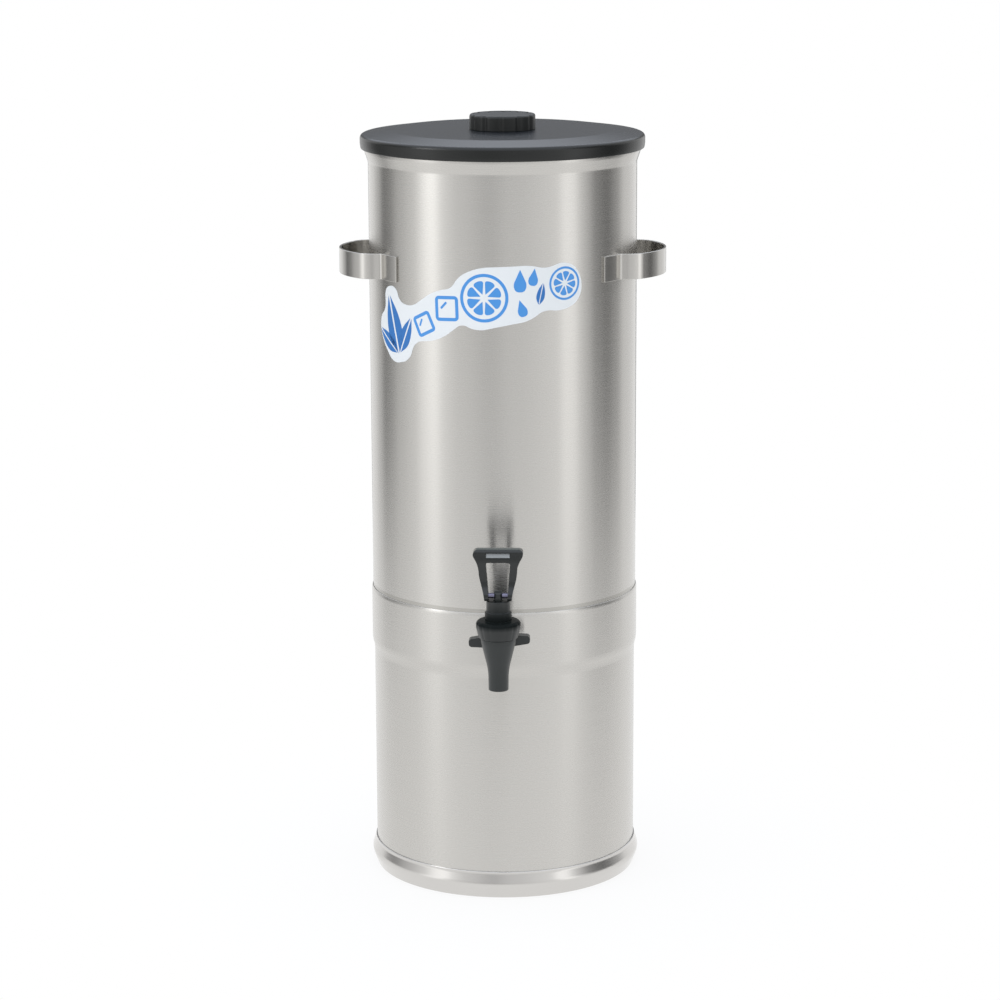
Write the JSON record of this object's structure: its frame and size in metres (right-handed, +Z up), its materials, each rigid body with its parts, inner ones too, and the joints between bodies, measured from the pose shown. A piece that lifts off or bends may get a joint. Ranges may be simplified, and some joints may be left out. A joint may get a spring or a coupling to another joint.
{
  "type": "drink dispenser",
  "caption": "Round stainless steel iced tea dispenser with a lift-off lid, two strap handles and a self-closing lever faucet above a beaded base.",
  "frame": {"origin": "centre of the base ring on the plane that it stands on, on the tank's axis", "axes": "+Z up along the tank's axis, -Y to the front where the faucet is, +X to the right handle seen from the front"},
  "size_m": [0.2898, 0.3123, 0.686],
  "materials": {
    "steel_sheet": "brushed round the tank",
    "steel_ring": "satin, brushed round",
    "steel_strap": "satin",
    "steel_bright": "bright",
    "lid_plastic": "satin moulded",
    "knob_plastic": "moulded",
    "faucet_plastic": "semi-gloss moulded",
    "lever_plastic": "gloss moulded",
    "seal_rubber": "matte",
    "silicone": "translucent white"
  },
  "bodies": {
    "container": {"tank_wall": "steel_sheet", "tank_floor": "steel_sheet", "base_skirt": "steel_sheet", "base_ring": "steel_ring", "left_handle": "steel_strap", "right_handle": "steel_strap", "shank": "faucet_plastic", "outer_washer": "seal_rubber", "inner_washer": "seal_rubber", "lock_nut": "faucet_plastic", "tail_gasket": "seal_rubber", "wing_nut": "faucet_plastic", "faucet_body": "faucet_plastic", "faucet_bonnet": "faucet_plastic", "seat_cup": "silicone", "return_spring": "steel_bright"},
    "valve": {"valve_stem": "faucet_plastic", "lever_pin": "steel_bright"},
    "lever": {"lever_handle": "lever_plastic"},
    "cover": {"lid": "lid_plastic", "lid_knob": "knob_plastic", "knob_screw": "steel_bright", "knob_washer": "steel_bright"}
  },
  "joints": [
    {"name": "lid_lift", "type": "slide", "parent": "container", "child": "cover", "axis": [0, 0, 1], "range_m": [0, 0.15]},
    {"name": "stem_lift", "type": "slide", "parent": "container", "child": "valve", "axis": [0, 0, 1], "range_m": [0, 0.004], "deforming": ["return_spring", "seat_cup"]},
    {"name": "handle_tilt", "type": "hinge", "parent": "valve", "child": "lever", "pos_m": [0, -0.167, 0.29], "axis": [1, 0, 0], "range_deg": [0, 50], "stiffness_Nm_per_rad": 0.2, "springref_deg": -85.94}
  ],
  "couplings": [
    {"joint": "stem_lift", "follows": "handle_tilt", "m_per_rad": 0.00458}
  ]
}
